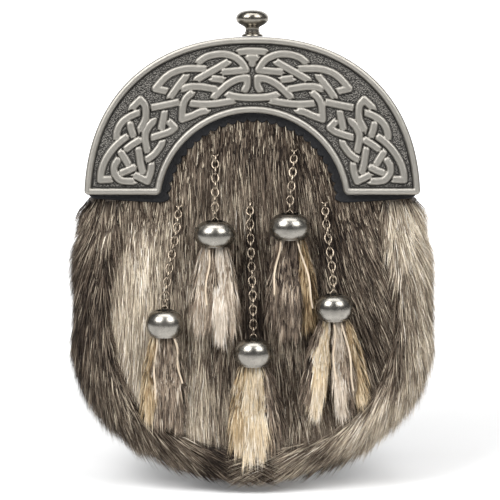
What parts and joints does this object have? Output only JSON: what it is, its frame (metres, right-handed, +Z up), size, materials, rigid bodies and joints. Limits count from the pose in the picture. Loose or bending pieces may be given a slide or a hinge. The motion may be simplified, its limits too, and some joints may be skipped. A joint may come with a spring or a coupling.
{
  "type": "sporran pouch",
  "caption": "Dress sporran: hollow leather pouch with fur front and fur edge roll, arched cast cantle with raised interlace over a scalloped leather apron, knob, and chained fur tassels.",
  "frame": {"origin": "on the back panel's rear face, midway between the two strap loops, where the sporran hangs", "axes": "+Z up as worn, +Y towards the wearer, out of the back panel; the fur front and the cantle face -Y"},
  "size_m": [0.1836, 0.0695, 0.2381],
  "materials": {
    "pewter": "antique pewter casting, dark in the recesses and rubbed bright on the raised strands",
    "polished_metal": "polished nickel-coloured metal",
    "chain_metal": "gunmetal chain",
    "black_leather": "black grained leather",
    "grey_fur": "brown-grey fur with pale patches",
    "pale_fur": "cream and brown fur strips on pale hide"
  },
  "bodies": {
    "root": {"cantle": "pewter", "top_knob": "polished_metal", "apron": "black_leather", "pouch_shell": "black_leather", "back_panel": "black_leather", "back_flap": "black_leather", "strap_loop_left": "black_leather", "strap_loop_right": "black_leather", "front_fur": "grey_fur", "border_fur": "grey_fur", "chain_1": "chain_metal", "chain_2": "chain_metal", "chain_3": "chain_metal", "chain_4": "chain_metal", "chain_5": "chain_metal", "bell_1": "polished_metal", "bell_2": "polished_metal", "bell_3": "polished_metal", "bell_4": "polished_metal", "bell_5": "polished_metal", "tassel_1": "pale_fur", "tassel_2": "pale_fur", "tassel_3": "pale_fur", "tassel_4": "pale_fur", "tassel_5": "pale_fur"}
  },
  "joints": []
}
